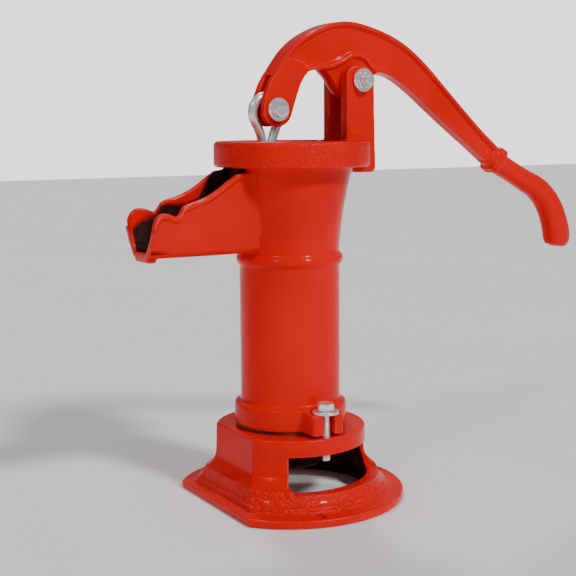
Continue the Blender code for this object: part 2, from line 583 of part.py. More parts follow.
def make_poppet(parent, look):
    z = PLUNGER_Z + 6.6 + GAP
    profile = [(3.4, z - 13.0), (4.2, z - 12.2), (4.2, z - 1.6), (6.0, z), (16.6, z), (17.2, z + 0.6),
               (17.2, z + 3.0), (16.0, z + 4.0), (5.0, z + 4.6)]
    shade(turned("plunger_poppet", profile, parent, look, 20, ends="capped"))


# ---------------------------------------------------------------- foot valve

def make_gasket(parent, look):
    """The clamped rim of the leather disc on the stand, which seals the joint."""
    low = STAND_HEIGHT + GAP
    rim = [(33.0, low), (48.2, low), (48.2, low + LEATHER), (33.0, low + LEATHER)]
    shade(turned("foot_valve_gasket", rim, parent, look, steps=32))


def make_flap(parent, leather, iron, steel):
    """The disc's free middle, which lifts off the port, and the weight that closes it."""
    low = STAND_HEIGHT + GAP
    high = low + LEATHER
    outline = arc((0, 0), 26.5, 14, 346, 26) + [(31.2, -6.4), (31.2, 6.4)]
    flap = prism("foot_valve_flap", outline, low, high, parent, leather, axis="z")
    cut(flap, cylinder(2.8, 40, 90, (0, 0, 0), parent, leather))
    shade(flap)
    base = high + GAP
    weight = [(2.8, base), (16.6, base), (17.4, base + 0.8), (17.4, base + 5.0), (12.0, base + 9.0),
              (8.0, base + 11.0), (2.8, base + 11.0)]
    shade(turned("foot_valve_weight", weight, parent, iron, steps=24))
    under = low - GAP
    disc = [(2.8, under - 1.8), (14.0, under - 1.8), (14.0, under), (2.8, under)]
    shade(turned("foot_valve_washer", disc, parent, steel, steps=24))
    head = under - 1.8 - GAP
    screw = [(3.2, head - 3.4), (4.6, head - 2.6), (4.6, head), (2.5, head), (2.5, base + 9.0)]
    shade(turned("foot_valve_screw", screw, parent, steel, 16, ends="capped"))


# ---------------------------------------------------------------- the whole pump

def build():
    for old in list(bpy.data.objects):
        bpy.data.objects.remove(old)
    enamel = material("red_enamel", (0.72, 0.012, 0.006), 0.24)
    zinc = material("zinc_plate", (0.72, 0.73, 0.75), 0.32, 1.0)
    bright = material("bright_steel", (0.62, 0.62, 0.64), 0.26, 1.0)
    leather = material("oiled_leather", (0.19, 0.09, 0.04), 0.62)
    iron = material("bare_iron", (0.09, 0.085, 0.08), 0.55, 0.8)
    brass = material("valve_brass", (0.62, 0.42, 0.14), 0.35, 1.0)

    pump = group("pump_axis", (0, 0, 0))
    cap = group("cap_axis", (0, 0, CAP_TOP), pump)
    lever = group("lever_axis", (PIVOT_X, 0, PIVOT_Z), cap)
    plunger = group("plunger_axis", (0, 0, PLUNGER_Z), cap)
    rod = group("rod_axis", (0, 0, ROD_FOOT_Z), plunger)
    flap = group("flap_axis", (FLAP_HINGE_X, 0, STAND_HEIGHT + GAP), pump)

    make_stand(pump, enamel)
    make_body(pump, enamel)
    make_collar_bolts(pump, zinc)
    make_gasket(pump, leather)
    make_flap(flap, leather, iron, zinc)
    make_cap(cap, enamel)
    make_set_screw(cap, zinc)
    make_cross_bolt("pivot", PIVOT_X, PIVOT_Z, POST_OUTER, FAR, cap, zinc)
    make_lever(lever, enamel)
    make_cross_bolt("pin", PIN_X, PIN_Z, FORK_HALF, NEAR, lever, zinc)
    make_rod(rod, bright)
    make_plunger(plunger, iron, leather, zinc)
    make_poppet(plunger, brass)


build()
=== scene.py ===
import json
import math

import bmesh
import bpy
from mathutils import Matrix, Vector


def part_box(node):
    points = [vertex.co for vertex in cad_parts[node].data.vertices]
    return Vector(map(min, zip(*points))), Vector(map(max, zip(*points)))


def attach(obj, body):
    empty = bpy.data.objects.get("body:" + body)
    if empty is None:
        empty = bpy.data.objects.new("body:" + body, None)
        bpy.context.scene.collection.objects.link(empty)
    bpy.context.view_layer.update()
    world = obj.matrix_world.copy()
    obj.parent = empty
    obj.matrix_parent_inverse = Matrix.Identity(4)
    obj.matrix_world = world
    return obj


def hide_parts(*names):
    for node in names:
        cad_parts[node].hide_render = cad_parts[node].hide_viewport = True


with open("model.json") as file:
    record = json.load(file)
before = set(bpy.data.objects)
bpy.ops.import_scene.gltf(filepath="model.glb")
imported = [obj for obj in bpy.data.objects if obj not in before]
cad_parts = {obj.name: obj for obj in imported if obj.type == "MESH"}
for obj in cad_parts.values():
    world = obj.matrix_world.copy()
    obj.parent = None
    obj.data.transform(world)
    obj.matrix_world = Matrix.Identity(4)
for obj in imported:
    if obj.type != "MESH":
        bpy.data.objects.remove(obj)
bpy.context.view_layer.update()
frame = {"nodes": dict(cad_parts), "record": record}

# The red castings are rebuilt here with fillets, cast relief and finer curves, and the hardware with threads and
# chamfers. Lengths are in millimetres in the pump's own frame: the barrel's axis is x = y = 0, the ground is
# z = 0, the spout points to -X and the handle to +X.

MM = 0.001
GAP = 0.3
NEAR, FAR = -1, 1
MOST_TRIANGLES = 190000  # in one casting
FINE = 1.0  # share of the final fineness of the castings

rim_low, rim_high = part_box("foot_valve_gasket")
AXIS_X = (rim_low[0] + rim_high[0]) / 2

STAND_HEIGHT, DRUM_RADIUS, DRUM_FLAT = 64.6, 66.4, 57.0
FLANGE_RADIUS, FLANGE_FLAT = 101.0, 77.8
FOOT_HOLE_CIRCLE, FOOT_HOLE_RADIUS, FOOT_HOLE_ANGLES = 92.0, 5.0, (0.0, 105.0, -105.0)
PORT_RADIUS = 19.3  # of the suction port in the stand's hub
WINDOW_BOTTOM, WINDOW_TOP, WINDOW_ANGLES = 21.0, 50.1, (22.0, 122.0)
BODY_BOTTOM, BODY_TOP, BORE_RADIUS, TUBE_RADIUS = 67.4, 304.0, 38.0, 44.0
COLLAR_RADIUS, COLLAR_TOP, LUG_TOP, COLLAR_BOLT_AT = 49.6, 87.2, 85.0, 59.0
LUG_HALF_WIDTH, SLOT_HALF_WIDTH = 15.5, 5.75
BODY_FLANGE_RADIUS, SPOUT_REACH = 58.0, 141.4
CAP_RADIUS, CAP_BOTTOM, CAP_TOP, CAP_OFFSET = 68.0, 292.4, 314.4, 3.0
CAP_OPENING, CAP_SKIRT_RADIUS = 46.0, 61.3
POST_INNER, POST_OUTER, POST_FRONT, POST_BACK, FOOT_BACK, FOOT_BOTTOM = 8.5, 19.5, 47.4, 76.0, 78.0, 286.0
HEEL_STOP, SCREW_Z = 345.3, 298.6
PIVOT_X, PIVOT_Z, PIN_X, PIN_Z = 63.7, 366.3, -17.2, 340.8
FORK_HALF, FORK_SLOT_HALF, HUB_HALF, RIM_HALF, WEB_HALF = 11.5, 5.0, 8.0, 11.0, 7.9
BOLT_RADIUS, HOLE_RADIUS, ACROSS_FLATS = 4.0, 4.3, 13.0
ROUND = 99.0  # across flats: so wide that only the radius limit acts
EYE_X, EYE_Z, EYE_RING, ROD_RADIUS, ROD_FOOT_Z = -21.6, 338.4, 14.0, 4.0, 186.0


# ---------------------------------------------------------------- mesh tools

def piece(name, points, faces):
    """A mesh from points in the pump's frame."""
    mesh = bpy.data.meshes.new(name)
    mesh.from_pydata([(x * MM + AXIS_X, y * MM, z * MM) for x, y, z in points], [], faces)
    work = bmesh.new()
    work.from_mesh(mesh)
    bmesh.ops.recalc_face_normals(work, faces=work.faces)
    work.to_mesh(mesh)
    work.free()
    mesh.shade_smooth()
    made = bpy.data.objects.new(name, mesh)
    bpy.context.scene.collection.objects.link(made)
    return made


def loft(name, rings, ends="capped"):
    """Skins a row of rings. ends is capped, or joined for a hollow ring."""
    count = len(rings[0])
    points = [p for ring in rings for p in ring]
    spans = len(rings) if ends == "joined" else len(rings) - 1
    faces = []
    for i in range(spans):
        here, there = i * count, ((i + 1) % len(rings)) * count
        for j in range(count):
            k = (j + 1) % count
            faces.append((here + j, here + k, there + k, there + j))
    if ends == "capped":
        faces.append(tuple(range(count)))
        faces.append(tuple((len(rings) - 1) * count + j for j in range(count)))
    return piece(name, points, faces)


def turned(name, profile, steps=128, centre=(0, 0, 0), axis="z", ends="joined"):
    """A solid turned from (radius, height) points, about X, Y or Z."""
    rings = []
    for radius, height in profile:
        ring = []
        for j in range(steps):
            angle = 2 * math.pi * j / steps
            u, v = radius * math.cos(angle), radius * math.sin(angle)
            local = {"x": (height, u, v), "y": (u, height, v), "z": (u, v, height)}[axis]
            ring.append([c + d for c, d in zip(centre, local)])
        rings.append(ring)
    return loft(name, rings, ends)


def prism(outline, low, high, axis="y"):
    """An outline of (x, z) points drawn out along Y, or of (x, y) points drawn out along Z."""
    if axis == "y":
        return loft("tool", [[(x, level, z) for x, z in outline] for level in (low, high)])
    return loft("tool", [[(x, y, level) for x, y in outline] for level in (low, high)])


def arc(centre, radius, start, end, steps):
    angles = [math.radians(start + (end - start) * i / steps) for i in range(steps + 1)]
    return [(centre[0] + radius * math.cos(a), centre[1] + radius * math.sin(a)) for a in angles]


def curve_through(points, steps):
    """A Catmull-Rom curve through the points, with this many steps between neighbours."""
    vectors = [Vector(p) for p in points]
    vectors = [2 * vectors[0] - vectors[1], *vectors, 2 * vectors[-1] - vectors[-2]]
    curve = []
    for a, b, c, d in zip(vectors, vectors[1:], vectors[2:], vectors[3:]):
        for i in range(steps):
            t = i / steps
            curve.append(0.5 * (2 * b + (c - a) * t + (2 * a - 5 * b + 4 * c - d) * t * t
                                + (3 * b - a - 3 * c + d) * t ** 3))
    return [*curve, vectors[-2]]


def bake(target):
    """Replaces a piece's mesh by the one its modifiers make."""
    bpy.context.view_layer.update()
    graph = bpy.context.evaluated_depsgraph_get()
    mesh = bpy.data.meshes.new_from_object(target.evaluated_get(graph))
    target.modifiers.clear()
    target.data = mesh
    return target


def combine(target, others, operation):
    for other in others:
        change = target.modifiers.new(operation.lower(), "BOOLEAN")
        change.operation = operation
        change.object = other
        bake(target)
        bpy.data.objects.remove(other)
    return target


def join(target, *others):
    return combine(target, others, "UNION")


def cut(target, *others):
    return combine(target, others, "DIFFERENCE")


def cylinder(radius, low, high, centre=(0, 0, 0), axis="z", steps=48):
    return turned("tool", [(radius, low), (radius, high)], steps, centre, axis, "capped")


def cast(target, voxel, rounds):
    """Turns a sharp solid into a casting: its corners and inner angles become fillets. A mesh of more than
    MOST_TRIANGLES is thinned to that."""
    remesh = target.modifiers.new("remesh", "REMESH")
    remesh.mode = "VOXEL"
    remesh.voxel_size = voxel / FINE * MM
    soften = target.modifiers.new("soften", "SMOOTH")
    soften.factor = 0.5
    soften.iterations = max(2, round(rounds * FINE * FINE))
    bake(target)
    triangles = sum(len(face.vertices) - 2 for face in target.data.polygons)
    if triangles > MOST_TRIANGLES:
        thin = target.modifiers.new("thin", "DECIMATE")
        thin.ratio = MOST_TRIANGLES / triangles
        bake(target)
    target.data.shade_smooth()
    return target


# ---------------------------------------------------------------- stand

def flat_distance(radius):
    share = max(0.0, radius - DRUM_RADIUS) / (FLANGE_RADIUS - DRUM_RADIUS)
    return DRUM_FLAT + (FLANGE_FLAT - DRUM_FLAT) * share ** 0.9 - max(0.0, DRUM_RADIUS - radius)


def flat_sided_ring(radius, flat, z, arc_steps=132, flat_steps=22):
    """A circle with its -X side cut straight at the distance flat, or left round where flat is None."""
    half = 35.0 if flat is None else math.degrees(math.acos(flat / radius))
    ring = arc((0, 0), radius, -180 + half, 180 - half, arc_steps)
    if flat is None:
        ring += arc((0, 0), radius, 180 - half, 180 + half, flat_steps)[1:-1]
    else:
        width = radius * math.sin(math.radians(half))
        ring += [(-flat, width * (1 - 2 * i / flat_steps)) for i in range(1, flat_steps)]
    return [(x, y, z) for x, y in ring]


def window_tool(side):
    first, last = WINDOW_ANGLES
    rings = []
    for z, inset in ((WINDOW_BOTTOM, 4.0), (WINDOW_BOTTOM + 4.5, 0.0), (WINDOW_TOP, 0.0)):
        start, end = side * (first + inset), side * (last - inset)
        outline = arc((0, 0), 118.0, start, end, 32) + arc((0, 0), 52.0, end, start, 32)
        rings.append([(x, y, z) for x, y in outline])
    return loft("tool", rings)


def make_stand():
    flare = curve_through([(82.8, 13.2), (81.0, 15.8), (79.3, 19.2), (78.0, 22.4)], 4)
    upper = curve_through([(77.4, 24.0), (74.6, 24.8), (71.0, 29.2), (68.6, 32.8), (67.4, 36.4), (66.8, 44.0)], 4)
    outside = ([(100.4, 0), (FLANGE_RADIUS, 0.7), (FLANGE_RADIUS, 5.0), (100.6, 6.2), (99.2, 6.9), (98.0, 6.7),
                (96.6, 6.5), (88.6, 7.4), (86.9, 7.9), (86.2, 8.8), (85.9, 11.0), (85.4, 12.0), (84.4, 12.5)]
               + [tuple(p) for p in flare] + [tuple(p) for p in upper]
               + [(DRUM_RADIUS, 62.8), (65.9, 64.1), (64.6, STAND_HEIGHT)])
    hub = [(20.2, STAND_HEIGHT), (PORT_RADIUS, STAND_HEIGHT - 0.9), (PORT_RADIUS, 30.4), (20.7, 29.0), (26.0, 29.0),
           (27.6, 31.0), (27.6, 50.0), (30.0, 54.5), (47.0, 54.5), (50.0, WINDOW_TOP)]
    inside = [(59.2, WINDOW_TOP), (61.4, 40.0), (64.2, 30.0), (67.5, 21.0), (72.6, 0)]
    rings = [flat_sided_ring(r, flat_distance(r), z) for r, z in outside]
    rings += [flat_sided_ring(r, None, z) for r, z in hub]
    rings += [flat_sided_ring(r, flat_distance(r), z) for r, z in inside]
    stand = loft("stand_casting", rings, "joined")
    for side in (NEAR, FAR):
        cut(stand, window_tool(side), cylinder(HOLE_RADIUS, 40, 70, (0, side * COLLAR_BOLT_AT, 0)))
    for angle in FOOT_HOLE_ANGLES:
        x, y = (FOOT_HOLE_CIRCLE * f(math.radians(angle)) for f in (math.cos, math.sin))
        cut(stand, cylinder(FOOT_HOLE_RADIUS, -5, 15, (x, y, 0)))
    cast(stand, 0.9, 2)
    return stand


# ---------------------------------------------------------------- body

def spout_height(x):
    """Height of the spout wall's top edge, with the notch that holds a bucket's bail."""
    edge = [(-30, 290.6), (-51, 289.4), (-62.2, 288.2), (-70.2, 283.0), (-78.0, 277.4), (-85.6, 272.8),
            (-93.2, 269.4), (-100.7, 267.0), (-107.9, 265.2), (-112.1, 263.1), (-115.2, 258.0), (-118.1, 255.3),
            (-121.7, 256.4), (-125.7, 258.2), (-129.9, 259.0), (-134.0, 258.4), (-137.8, 255.2), (-140.2, 250.4),
            (-SPOUT_REACH, 242.4)]
    for (x1, z1), (x2, z2) in zip(edge, edge[1:]):
        if x2 <= x <= x1:
            return z1 + (z2 - z1) * (x - x1) / (x2 - x1)
    return edge[0][1] if x > edge[0][0] else edge[-1][1]


def trough_section(x):
    """The spout's cross-section: a U whose sides lean out towards the lip, with a thick rolled edge. The far
    side of the casting is a little higher than the near one."""
    out = min(1.0, max(0.0, (-x - 100.0) / (SPOUT_REACH - 100.0)))
    wall, floor, bottom = 4.6, 5.0, 220.8
    low, high = 21.7 - 3.6 * out, 22.3 + 6.0 * out ** 1.5
    section = []
    for side, lift in ((FAR, 1.2), (NEAR, -0.4)):
        top = spout_height(x) + lift
        half = [(low - 6.0, bottom), (low - 2.2, bottom + 1.0), (low, bottom + 4.6), (high - 0.3, top - 5.6),
                (high + 1.4, top - 4.4), (high + 1.9, top - 3.0), (high + 1.9, top - 1.4), (high + 1.0, top),
                (high - wall, top), (high - wall - 0.6, top - 1.4), (low - wall, bottom + floor + 3.4),
                (low - wall - 3.4, bottom + floor)]
        section += [(x, side * y, z) for y, z in half][::side]
    return section


def make_body():
    bowl = curve_through([(TUBE_RADIUS, 218.4), (43.9, 223.0), (44.6, 233.0), (46.9, 252.0), (49.6, 266.0),
                          (52.0, 278.0), (54.2, 287.0), (56.0, 291.0), (BODY_FLANGE_RADIUS, 293.4)], 4)
    outside = ([(49.0, BODY_BOTTOM), (COLLAR_RADIUS, BODY_BOTTOM + 0.7), (COLLAR_RADIUS, COLLAR_TOP - 3.6),
                (49.2, COLLAR_TOP - 1.6), (47.8, COLLAR_TOP - 0.3), (46.0, COLLAR_TOP), (44.8, COLLAR_TOP + 0.9),
                (TUBE_RADIUS, COLLAR_TOP + 2.8), (TUBE_RADIUS, 206.6), (44.7, 207.8), (45.2, 208.6), (46.4, 210.0),
                (47.0, 212.2), (46.8, 214.4), (45.6, 216.4), (44.8, 217.4)]
               + [tuple(p) for p in bowl] + [(BODY_FLANGE_RADIUS, BODY_TOP - 0.8),
                                             (BODY_FLANGE_RADIUS - 0.8, BODY_TOP)])
    inside = [(50.6, BODY_TOP), (49.8, BODY_TOP - 0.8), (49.4, 294.0), (48.0, 286.0), (44.8, 270.0), (41.2, 252.0),
              (38.7, 233.0), (BORE_RADIUS, 223.0), (BORE_RADIUS, BODY_BOTTOM + 0.8), (BORE_RADIUS + 0.8, BODY_BOTTOM)]
    body = turned("body_casting", outside + inside)

    stations = [-41.0, -51.0, -57.0, -62.2, -66.2, -70.2, -74.0, -78.0, -82.0, -85.6, -89.4, -93.2, -97.0, -100.7,
                -104.4, -107.9, -110.4, -112.1, -113.8, -115.2, -116.6, -118.1, -119.8, -121.7, -123.6, -125.7,
                -127.8, -129.9, -132.0, -134.0, -136.0, -137.8, -139.2, -140.2, -SPOUT_REACH]
    trough = loft("tool", [trough_section(x) for x in stations])
    drip_edge = prism([(-SPOUT_REACH + 0.8, 217.2), (-SPOUT_REACH + 8.2, 217.2), (-SPOUT_REACH + 9.2, 222.4),
                       (-SPOUT_REACH + 0.8, 222.4)], -13.0, 13.0)
    lug = ([(-LUG_HALF_WIDTH, 42.0)] + arc((4 - LUG_HALF_WIDTH, 61.5), 4, 180, 90, 8)
           + arc((LUG_HALF_WIDTH - 4, 61.5), 4, 90, 0, 8) + [(LUG_HALF_WIDTH, 42.0)])
    lugs = [prism([(x, side * y) for x, y in lug], BODY_BOTTOM, LUG_TOP, axis="z") for side in (NEAR, FAR)]
    join(body, trough, drip_edge, *lugs)

    mouth = prism([(-70.0, 226.2), (-70.0, 291.5), (-25.0, 291.5), (-25.0, 226.2)], -17.0, 17.0)
    bore = cylinder(BORE_RADIUS - 0.02, 50, 226.0, steps=128)
    slots = [prism([(-SLOT_HALF_WIDTH, side * 75.0), (SLOT_HALF_WIDTH, side * 75.0)] + [
        (x, side * y) for x, y in arc((0, COLLAR_BOLT_AT - 1), SLOT_HALF_WIDTH, 0, -180, 16)], BODY_BOTTOM - 5,
        LUG_TOP + 8, axis="z") for side in (NEAR, FAR)]
    seats = [cylinder(12.0, LUG_TOP, LUG_TOP + 9, (0, side * COLLAR_BOLT_AT, 0)) for side in (NEAR, FAR)]
    cut(body, mouth, bore, *slots, *seats)
    cast(body, 1.0, 3)
    return body


# ---------------------------------------------------------------- cap and handle bracket

def make_cap():
    ring = [(CAP_SKIRT_RADIUS, CAP_BOTTOM), (CAP_RADIUS - 1.2, CAP_BOTTOM), (CAP_RADIUS, CAP_BOTTOM + 1.2),
            (CAP_RADIUS, CAP_TOP - 3.8), (67.7, CAP_TOP - 2.4), (67.0, CAP_TOP - 1.2), (66.0, CAP_TOP - 0.4),
            (64.8, CAP_TOP),
            (47.6, CAP_TOP), (46.4, CAP_TOP - 0.5), (CAP_OPENING, CAP_TOP - 1.6),
            (CAP_OPENING, BODY_TOP + GAP + 1.0), (47.0, BODY_TOP + GAP), (CAP_SKIRT_RADIUS, BODY_TOP + GAP)]
    cap = turned("cap_casting", ring, centre=(CAP_OFFSET, 0, 0))
    outline = ([(POST_FRONT, CAP_TOP - 6.0), (POST_FRONT, PIVOT_Z + 2.0)]
               + arc((POST_FRONT + 10.0, PIVOT_Z + 2.0), 10.0, 165, 90, 12)
               + arc((PIVOT_X, PIVOT_Z), 12.2, 75, 0, 14)
               + [(POST_BACK + 1.0, PIVOT_Z - 40.0), (FOOT_BACK, CAP_BOTTOM)]
               + arc((FOOT_BACK - 4.0, FOOT_BOTTOM + 4.0), 4.0, 0, -90, 8)
               + [(54.0, FOOT_BOTTOM), (54.0, CAP_TOP - 6.0)])
    posts = [prism(outline, *sorted((side * POST_INNER, side * POST_OUTER))) for side in (NEAR, FAR)]
    web = prism([(67.0, CAP_TOP - 6.0), (67.0, HEEL_STOP), (74.5, HEEL_STOP), (FOOT_BACK - 0.6, 300.0),
                 (FOOT_BACK - 0.6, FOOT_BOTTOM + 2), (56.0, FOOT_BOTTOM + 2), (56.0, 302.0)],
                -POST_INNER - 2, POST_INNER + 2)
    join(cap, *posts, web)
    skirt = cylinder(CAP_SKIRT_RADIUS, CAP_BOTTOM - 0.01, BODY_TOP + GAP, (CAP_OFFSET, 0, 0), steps=128)
    throat = cylinder(BODY_FLANGE_RADIUS + 0.5, 270, CAP_BOTTOM + 1, steps=128)
    cut(cap, skirt, throat, cylinder(HOLE_RADIUS, -30, 30, (PIVOT_X, 0, PIVOT_Z), "y"),
        cylinder(HOLE_RADIUS, 50, 95, (0, 0, SCREW_Z), "x"))
    cast(cap, 0.85, 3)
    return cap


# ---------------------------------------------------------------- handle

def beam_section(top, bottom):
    """A section across the lever. Its web has a rim along the top, and as far as the posts one below too."""
    down = (bottom - top).normalized()
    foot_half = WEB_HALF + (RIM_HALF - WEB_HALF) * min(1.0, max(0.0, (102.0 - bottom.x) / 10.0))
    side = []
    for edge, way, half in ((top, down, RIM_HALF), (bottom, -down, foot_half)):
        levels = [(0.0, half - 1.2), (0.4, half - 0.3), (1.3, half), (3.4, half), (4.4, half * 0.4 + WEB_HALF * 0.6),
                  (5.8, WEB_HALF)]
        part = [(*(edge + way * depth), width) for depth, width in levels]
        side += part if edge is top else part[::-1]
    return [(x, half, z) for x, z, half in side] + [(x, -half, z) for x, z, half in reversed(side)]


def rounded_section(centre, along, half_height, half_width, corner=0.8, steps=40):
    """A rounded rectangle across the handle. corner is the share of each half that is rounded."""
    along = along.normalized()
    across = Vector((-along.y, along.x))
    ring = []
    for j in range(steps):
        angle = 2 * math.pi * j / steps
        u, v = math.cos(angle), math.sin(angle)
        swell = (abs(u) ** (2 / corner) + abs(v) ** (2 / corner)) ** (-corner / 2)
        p = centre + across * (v * swell * half_height)
        ring.append((p.x, u * swell * half_width, p.y))
    return ring


def relief(path, side, radius, depth):
    """A raised cast line on the lever's web: a rod that lies half in its surface and tapers at its ends."""
    path = curve_through(path, 4)
    rings = []
    for i, p in enumerate(path):
        along = path[min(i + 1, len(path) - 1)] - path[max(i - 1, 0)]
        across = Vector((-along.y, along.x)).normalized()
        share = min(1.0, 0.35 + 3.0 * min(i, len(path) - 1 - i) / len(path))
        ring = []
        for j in range(12):
            angle = 2 * math.pi * j / 12
            q = p + across * (math.cos(angle) * radius * share)
            ring.append((q.x, side * (depth + math.sin(angle) * radius * 0.8 * share), q.y))
        rings.append(ring)
    return loft("tool", rings)


def make_lever():
    top = [(-22.5, 366.0), (-15.0, 377.5), (-4.0, 391.4), (10.0, 402.8), (28.0, 411.6), (45.0, 416.2),
           (60.0, 416.6), (74.0, 414.2), (88.0, 410.4), (103.0, 405.0), (121.0, 395.5), (141.0, 380.4),
           (162.4, 360.8), (184.0, 341.0), (206.0, 321.5), (226.0, 305.6)]
    around = [(PIVOT_X + 20.0 * math.cos(math.radians(a)), PIVOT_Z + 20.0 * math.sin(math.radians(a)))
              for a in (135, 100, 65, 25)]
    bottom = [(8.0, 367.0), (12.0, 371.6), (18.0, 374.2), (27.0, 375.3), (37.0, 375.8), *around,
              (94.0, 372.6), (108.0, 368.4), (128.0, 356.2), (152.0, 338.2), (176.0, 320.6), (199.0, 304.2),
              (219.5, 289.0)]
    rings = [beam_section(t, b) for t, b in zip(curve_through(top, 8), curve_through(bottom, 8))]
    lever = loft("lever_casting", rings)

    tip = arc((PIN_X, PIN_Z), 14.4, 197, 338, 28)
    fork = prism([(-19.0, 371.6), (-24.6, 362.4), (-29.6, 350.2)] + tip
                 + [(0.2, 347.4), (5.4, 361.6), (9.4, 368.6), (13.0, 372.0), (10.0, 381.0), (-4.0, 384.0)],
                 -FORK_HALF, FORK_HALF)
    nose = [(30.5, 373.6), (36.0, 368.4), (41.0, 361.0), (46.0, 354.4), (53.0, 349.4)]
    back = [(61.5, HEEL_STOP + GAP), (72.4, HEEL_STOP + GAP), (75.2, 353.0), (77.0, 362.0), (84.0, 371.0),
            (92.0, 376.0), (86.0, 392.0), (44.0, 392.0)]
    layers, spans, nose_round = [], 16, 5.5
    for i in range(spans + 1):
        y = HUB_HALF * math.sin(math.pi * (i / spans - 0.5))
        recess = nose_round * (1 - math.sqrt(max(0.0, 1 - (y / HUB_HALF) ** 2)))
        layers.append([(x, y, z) for x, z in [(26.0, 380.0), *((x + recess, z) for x, z in nose), *back]])
    hub = loft("tool", layers)
    middle = [(219.6, 299.4), (225.4, 295.8), (227.8, 294.2), (231.0, 292.2), (234.2, 290.2), (238.0, 287.8),
              (252.0, 280.5), (268.0, 272.3), (283.6, 264.3), (296.2, 253.2), (304.6, 240.2), (310.2, 226.6),
              (312.8, 215.6), (313.3, 208.2), (313.0, 204.8)]
    heights = [9.8, 10.2, 10.6, 10.6, 10.3, 10.1, 9.9, 10.4, 11.4, 12.4, 13.2, 13.9, 14.4, 12.6, 8.0]
    widths = [10.4, 10.7, 11.0, 11.0, 10.6, 10.0, 9.6, 9.6, 9.8, 10.0, 10.2, 10.4, 10.2, 8.8, 5.0]
    path, sizes = curve_through(middle, 5), curve_through(list(zip(heights, widths)), 5)
    rings = []
    for i, (centre, size) in enumerate(zip(path, sizes)):
        before, after = path[max(i - 1, 0)], path[min(i + 1, len(path) - 1)]
        rings.append(rounded_section(centre, after - before, size.x, size.y))
    first, last, half = Vector((225.4, 295.8)), Vector((233.0, 291.0)), 12.8
    band = [rounded_section(first.lerp(last, share), last - first, half - less, half - less, 0.5)
            for share, less in ((0.0, 2.6), (0.1, 0.9), (0.2, 0.4), (0.6, 0.4), (0.7, 0.0), (0.9, 0.0), (1.0, 1.2))]
    join(lever, fork, hub, loft("tool", rings), loft("tool", band))
    for side in (NEAR, FAR):
        join(lever, relief([(33.0, 377.6), (39.0, 379.6), (45.0, 383.6), (50.5, 386.0), (55.5, 385.0),
                            (60.0, 383.6)], side, 1.5, WEB_HALF),
             relief([(80.0, 374.6), (85.0, 377.0), (90.0, 376.9), (95.0, 375.6), (99.0, 373.6)], side, 1.3,
                    WEB_HALF))
    slot = prism([(-60.0, 310.0), (-60.0, 370.0), (11.0, 370.0), (20.0, 358.0), (20.0, 310.0)],
                 -FORK_SLOT_HALF, FORK_SLOT_HALF)
    cut(lever, slot, cylinder(HOLE_RADIUS, -30, 30, (PIN_X, 0, PIN_Z), "y"),
        cylinder(HOLE_RADIUS, -30, 30, (PIVOT_X, 0, PIVOT_Z), "y"))
    cast(lever, 0.75, 3)
    return lever


# ---------------------------------------------------------------- bolts, nuts, washers and rod

def axis_point(centre, axis, u, v, along):
    x, y, z = centre
    return {"x": (x + along, y + u, z + v), "y": (x + u, y + along, z + v), "z": (x + u, y + v, z + along)}[axis]


def threaded_rings(centre, axis, start, end, radius, pitch=1.25, depth=0.55, steps=36):
    """Rings of a screw thread from start to end. The thread runs out at both ends."""
    count = max(4, int(abs(end - start) / pitch * 7))
    rings = []
    for i in range(count + 1):
        along = start + (end - start) * i / count
        fade = min(1.0, 5.0 * min(i, count - i) / count)
        ring = []
        for j in range(steps):
            turn = j / steps
            wave = abs(((along / pitch - turn) % 1.0) * 2 - 1)
            reach = radius - depth * min(1.0, wave * 1.25) * fade - (1 - fade) * 0.25
            ring.append(axis_point(centre, axis, reach * math.cos(2 * math.pi * turn),
                                   reach * math.sin(2 * math.pi * turn), along))
        rings.append(ring)
    return rings


def hexagon_ring(centre, axis, flats, limit, along, steps=36, turn=0.0):
    """A hexagon of this size across its flats, rounded down to the radius limit. ROUND gives a circle."""
    ring = []
    for j in range(steps):
        angle = 2 * math.pi * j / steps
        reach = min(limit, flats / 2 / math.cos((angle + turn + math.pi / 6) % (math.pi / 3) - math.pi / 6))
        ring.append(axis_point(centre, axis, reach * math.cos(angle), reach * math.sin(angle), along))
    return ring


def sharpen(target, degrees=28.0):
    target.data.shade_smooth()
    target.data.set_sharp_from_angle(angle=math.radians(degrees))
    return target


def make_bolt(name, centre, axis, seat, head, end, turn=0.0, plain=0.0):
    """A hexagon bolt with a chamfered head, a washer face and a threaded shank."""
    way = 1 if head > seat else -1
    rings = [hexagon_ring(centre, axis, ROUND, r, a) for r, a in (
        (0.6, head - way * 0.35), (4.4, head - way * 0.35), (4.9, head), (5.9, head))]
    rings += [hexagon_ring(centre, axis, ACROSS_FLATS, r, a, turn=turn) for r, a in (
        (6.5, head - way * 0.1), (7.0, head - way * 0.5), (7.6, head - way * 1.2), (7.6, seat + way * 0.6),
        (7.3, seat + way * 0.35))]
    rings += [hexagon_ring(centre, axis, ROUND, r, a) for r, a in ((6.1, seat + way * 0.3), (6.0, seat), (4.2, seat))]
    shank = seat - way * plain
    if plain:
        rings.append(hexagon_ring(centre, axis, ROUND, BOLT_RADIUS, seat - way * 0.3))
    rings += threaded_rings(centre, axis, shank - way * 0.3, end + way * 0.5, BOLT_RADIUS)
    rings.append(hexagon_ring(centre, axis, ROUND, 3.1, end))
    rings.append(hexagon_ring(centre, axis, ROUND, 0.5, end))
    return sharpen(loft(name, rings))


def make_nut(name, centre, axis, low, high, turn=0.0):
    outer = [hexagon_ring(centre, axis, ACROSS_FLATS, r, a, turn=turn) for r, a in (
        (6.3, low), (6.9, low + 0.35), (7.6, low + 1.1), (7.6, high - 1.1), (6.9, high - 0.35), (6.3, high))]
    inner = [hexagon_ring(centre, axis, ROUND, r, a) for r, a in (
        (5.0, high), (4.2, high - 0.8), (4.15, low + 0.8), (5.0, low))]
    return sharpen(loft(name, outer + inner, "joined"))


